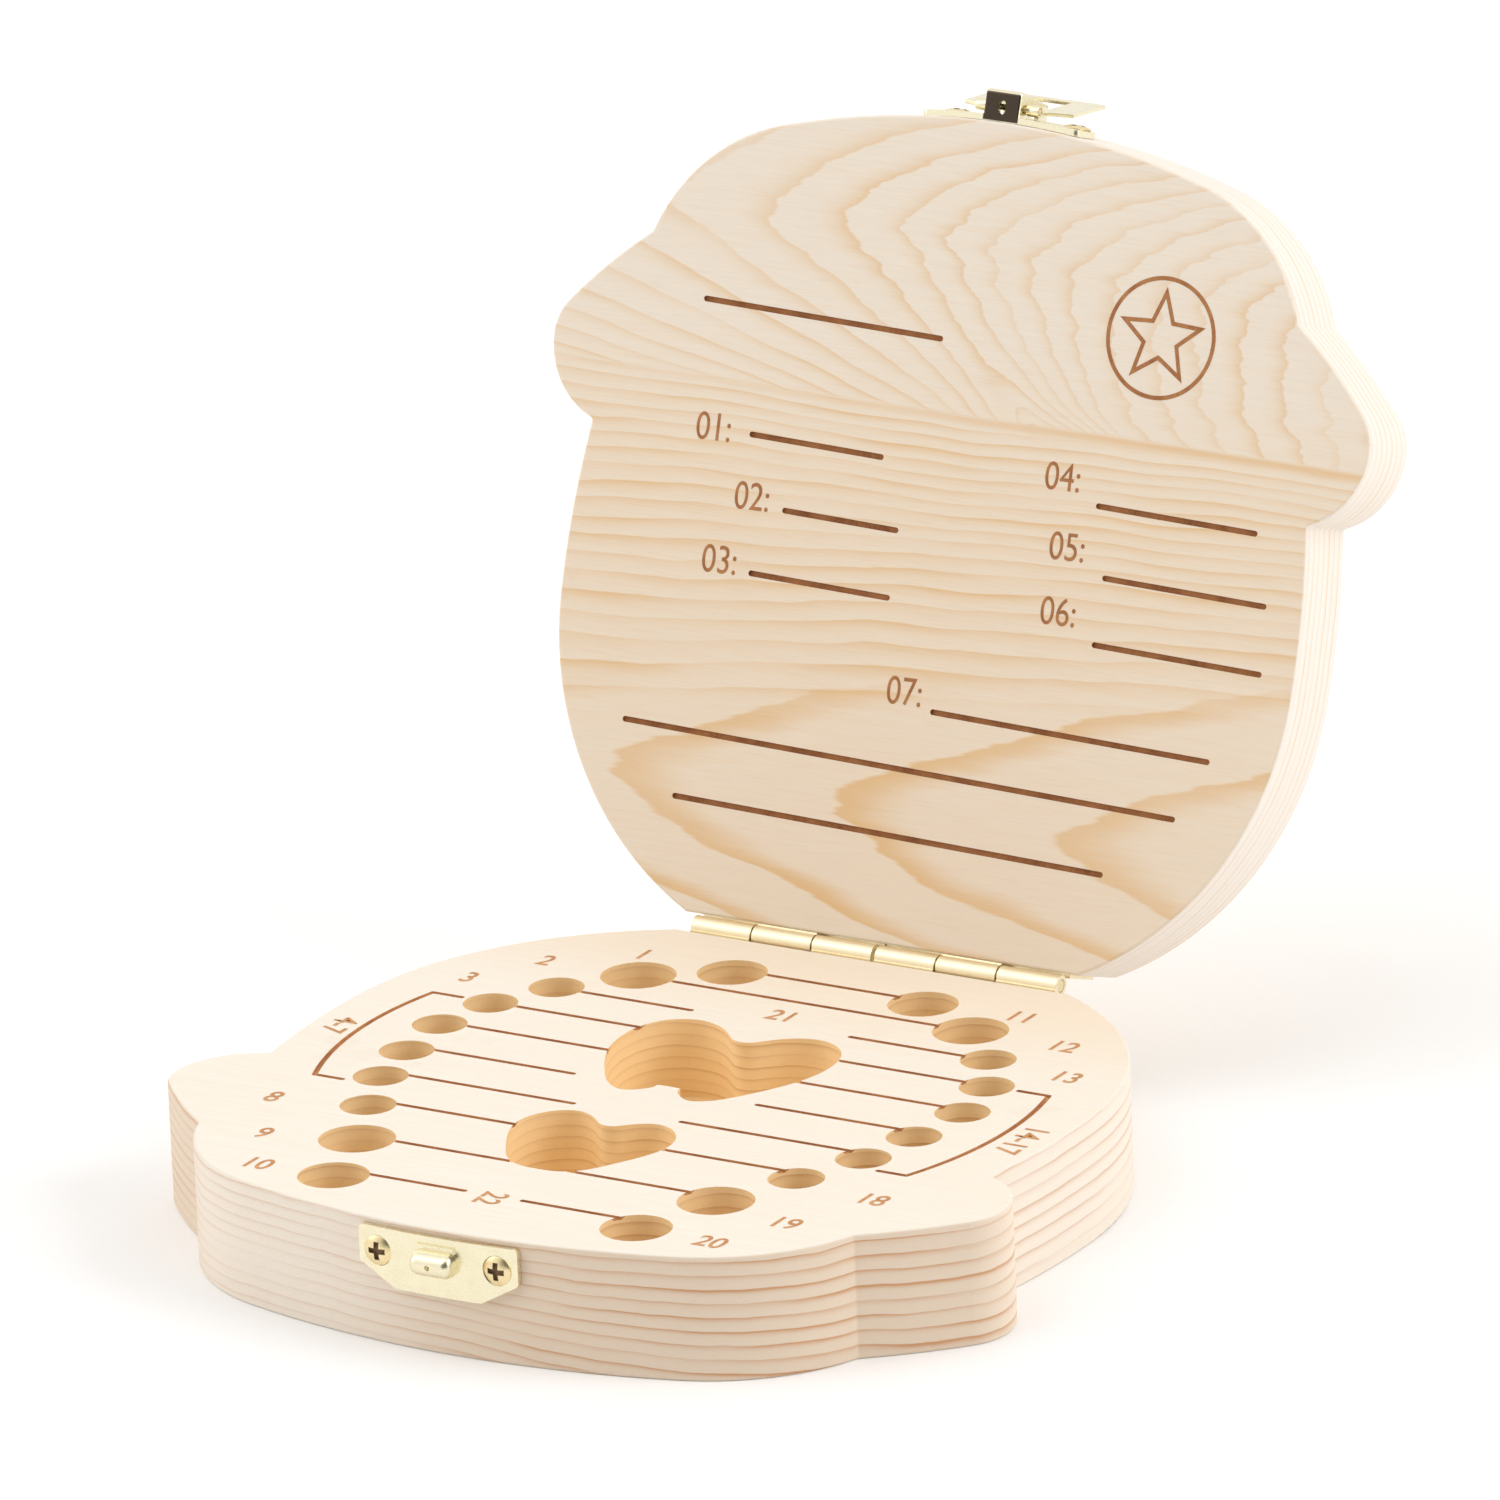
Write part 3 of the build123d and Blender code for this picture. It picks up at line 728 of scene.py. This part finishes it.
fitting("latch_hasp_pin", "lid", pin_brass, PIN_EDGE)


# Flat burnt marks: plain numbers, and a star in a ring. A mark's place is given in millimetres:
# x, and along, which is its distance from the hinge's axis

# How far the marks lie off the wood
MARK_GAP = 0.02 * MM
# The height of a digit as a share of its font's size, and how much narrower it is made
DIGIT_SHARE = 0.70
DIGIT_SQUEEZE = 0.86
TRAY_DIGITS = 3.4 * MM
TRAY_DIGITS_BOLD = 0.07 * MM
LID_DIGITS = 3.6 * MM
LID_DIGITS_TURN = 1.2
RIBBON = 0.55 * MM
# Keeps the ribbon's sharp corners from running out too far
MITRE_LIMIT = 0.35


def turned(axis, degrees):
    return Matrix.Rotation(math.radians(degrees), 4, axis)


def on_tray(x, along):
    """Just above the tray's top."""
    return Matrix.Translation((x * MM, HINGE.y - along * MM, TRAY_TOP + MARK_GAP))


def inside_lid(x, along):
    """Just off the lid's inner face, upright when the lid stands open."""
    place = Matrix.Translation((x * MM, HINGE.y - along * MM, LID_FACE - MARK_GAP))
    return OPENED @ place @ Matrix.Rotation(math.pi, 4, "X")


def burnt_mark(name, mesh, matrix, body):
    mesh.materials.append(tray_burnt if body == "tray" else lid_burnt)
    piece = bpy.data.objects.new(name, mesh)
    bpy.context.scene.collection.objects.link(piece)
    piece.matrix_world = matrix
    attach(piece, body)


def number_mesh(text, height, bold=0.0):
    """Digits of that height, centred, as a flat mesh."""
    curve = bpy.data.curves.new("digits", "FONT")
    curve.body = text
    curve.align_x, curve.align_y = "CENTER", "CENTER"
    curve.size = height / DIGIT_SHARE
    curve.offset = bold
    holder = bpy.data.objects.new("digits", curve)
    bpy.context.scene.collection.objects.link(holder)
    bpy.context.view_layer.update()
    depsgraph = bpy.context.evaluated_depsgraph_get()
    mesh = bpy.data.meshes.new_from_object(holder.evaluated_get(depsgraph))
    bpy.data.objects.remove(holder)
    mesh.transform(Matrix.Diagonal((DIGIT_SQUEEZE, 1, 1, 1)))
    return mesh


def tray_number(text, x, along, turn=0.0):
    mesh = number_mesh(text, TRAY_DIGITS, TRAY_DIGITS_BOLD)
    place = on_tray(x, along) @ turned("Z", turn)
    burnt_mark("tray_number_" + text, mesh, place, "tray")


def lid_number(text, x, along):
    mesh = number_mesh(text, LID_DIGITS)
    place = inside_lid(x, along) @ turned("Z", LID_DIGITS_TURN)
    burnt_mark("lid_number_" + text.strip(":"), mesh, place, "lid")


def row_of_pairs(first, places):
    """Numbers left and right of the middle, from the hinge to the front."""
    for number, (x, along) in enumerate(places, first):
        tray_number(str(number), -x, along)
        tray_number(str(number + 10), x, along)


row_of_pairs(1, [(27.8, 11.8), (38.0, 18.9), (43.8, 28.3)])
tray_number("4-7", -49.8, 50.0, turn=-90)
tray_number("14-17", 49.8, 50.0, turn=-90)
row_of_pairs(8, [(43.5, 75.8), (37.8, 87.3), (32.8, 96.8)])
tray_number("21", 0, 24.0)
tray_number("22", 0, 95.0, turn=-90)

for text, x, along in [("01:", -34.5, 63.3), ("02:", -27.5, 55.2), ("03:", -31.0, 46.6),
                       ("04:", 17.0, 63.6), ("05:", 19.0, 54.9), ("06:", 19.0, 46.6),
                       ("07:", -1.5, 33.6)]:
    lid_number(text, x, along)


# A plain star in a ring beside the top line

def loop(radii, count):
    """Points at equal angles whose distances from the middle take turns through the radii."""
    points = []
    for i in range(count):
        angle = 2 * math.pi * i / count
        points.append(Vector((math.sin(angle), math.cos(angle))) * radii[i % len(radii)] * MM)
    return points


def ribbon_mesh(points):
    """A flat closed ribbon along a closed loop of points."""
    count = len(points)
    verts = []
    for i in range(count):
        before, here, after = points[i - 1], points[i], points[(i + 1) % count]
        a, b = (here - before).normalized(), (after - here).normalized()
        normal = Vector((-(a + b).y, (a + b).x)).normalized()
        reach = RIBBON / 2 / max(MITRE_LIMIT, normal.dot(Vector((-a.y, a.x))))
        verts += [(here + normal * reach).to_3d(), (here - normal * reach).to_3d()]
    faces = [(2 * i, 2 * i + 1, (2 * i + 3) % (2 * count), (2 * i + 2) % (2 * count))
             for i in range(count)]
    mesh = bpy.data.meshes.new("ribbon")
    mesh.from_pydata(verts, [], faces)
    return mesh


star_place = inside_lid(28.2, 83.0)
burnt_mark("lid_ring", ribbon_mesh(loop([7.6], 96)), star_place, "lid")
burnt_mark("lid_star", ribbon_mesh(loop([5.8, 2.5], 10)), star_place, "lid")


# Floor, light and camera, in metres

FLOOR_REACH = 6.0
# The way from the box to the dim room, and the cosines between which it turns dim
TOWARD_ROOM = (0.51, -0.82, 0.26)
ROOM_EDGE = (0.55, 0.88)
# How strong the light from the room is, and how much stronger it is from all other sides
ROOM_LIGHT = 0.14
SKY_LIGHT = 0.79
SKY_TONE = (1.0, 0.99, 0.975, 1)

CAMERA_AZIMUTH = math.radians(31.474)
CAMERA_ELEVATION = math.radians(19.414)
CAMERA_ROLL = math.radians(-2.413)
CAMERA_TARGET = Vector((7.414, 13.257, 58.755)) * MM
CAMERA_DISTANCE = 2.5035
CAMERA_LENS = 481.566
CAMERA_SENSOR = 36.0


def floor():
    mesh = bpy.data.meshes.new("floor")
    corners = [(-1, -1), (1, -1), (1, 1), (-1, 1)]
    mesh.from_pydata([(x * FLOOR_REACH, y * FLOOR_REACH, 0) for x, y in corners], [],
                     [(0, 1, 2, 3)])
    tree = Surface("floor_paper")
    tooth = tree.coordinates("Object").noise(900.0, detail=2.0)
    tree.finish(tree.mix(tooth, (0.93, 0.93, 0.93), (0.95, 0.95, 0.95)), 0.9, specular=0.1)
    mesh.materials.append(tree.material)
    plane = bpy.data.objects.new("floor", mesh)
    bpy.context.scene.collection.objects.link(plane)


def area_lamp(name, place, target, size, power):
    lamp = bpy.data.lights.new(name, "AREA")
    lamp.shape = "RECTANGLE"
    lamp.size = lamp.size_y = size
    lamp.energy = power
    holder = bpy.data.objects.new(name, lamp)
    holder.location = place
    holder.rotation_mode = "QUATERNION"
    holder.rotation_quaternion = (Vector(target) - Vector(place)).to_track_quat("-Z", "Y")
    bpy.context.scene.collection.objects.link(holder)


def world():
    """Soft white all round but for a dim room in front; plain white where seen or mirrored."""
    surroundings = bpy.data.worlds.new("studio")
    tree = Tree(surroundings)
    toward = tree.vector("DOT_PRODUCT", "Value", tree.coordinates("Generated"), TOWARD_ROOM)
    lit = toward.ramp(*ROOM_EDGE, 1.0, 0.0, smooth=True)
    soft = tree.add("Background")
    soft.inputs["Color"].default_value = SKY_TONE
    tree.put(soft.inputs["Strength"], tree.sum("MULTIPLY_ADD", lit, SKY_LIGHT, ROOM_LIGHT))
    white = tree.add("Background")
    white.inputs["Color"].default_value = (1, 1, 1, 1)
    white.inputs["Strength"].default_value = 1.0
    path = tree.add("LightPath")
    seen, glossy, passed = [Value(tree, path.outputs["Is " + kind + " Ray"])
                            for kind in ("Camera", "Glossy", "Transmission")]
    mixer = tree.add("MixShader")
    output = tree.add("OutputWorld")
    tree.put(mixer.inputs[0], (seen + (glossy + passed) * lit).at_most(1.0))
    tree.links.new(soft.outputs[0], mixer.inputs[1])
    tree.links.new(white.outputs[0], mixer.inputs[2])
    tree.links.new(mixer.outputs[0], output.inputs["Surface"])
    bpy.context.scene.world = surroundings


def camera():
    """The photograph's camera: far off, looking down on the box from its right front."""
    level = math.cos(CAMERA_ELEVATION)
    back = Vector((math.sin(CAMERA_AZIMUTH) * level, -math.cos(CAMERA_AZIMUTH) * level,
                   math.sin(CAMERA_ELEVATION)))
    lens = bpy.data.cameras.new("camera")
    lens.sensor_width = CAMERA_SENSOR
    lens.lens = CAMERA_LENS
    lens.clip_start, lens.clip_end = 0.1, 50.0
    holder = bpy.data.objects.new("camera", lens)
    holder.location = CAMERA_TARGET + back * CAMERA_DISTANCE
    holder.rotation_mode = "QUATERNION"
    turn = (-back).to_track_quat("-Z", "Y")
    holder.rotation_quaternion = turn @ Matrix.Rotation(CAMERA_ROLL, 3, "Z").to_quaternion()
    bpy.context.scene.collection.objects.link(holder)
    bpy.context.scene.camera = holder


floor()
area_lamp("key", (1.6, 0.30, 1.1), (0, 0.02, 0.05), 1.2, 14.5)
area_lamp("left", (-1.7, -0.9, 1.0), (0, 0, 0.05), 1.4, 6.8)
area_lamp("top", (-0.3, -0.9, 1.8), (0, 0, 0), 1.6, 7.6)
world()
camera()
scene = bpy.context.scene
scene.view_settings.view_transform = "Standard"
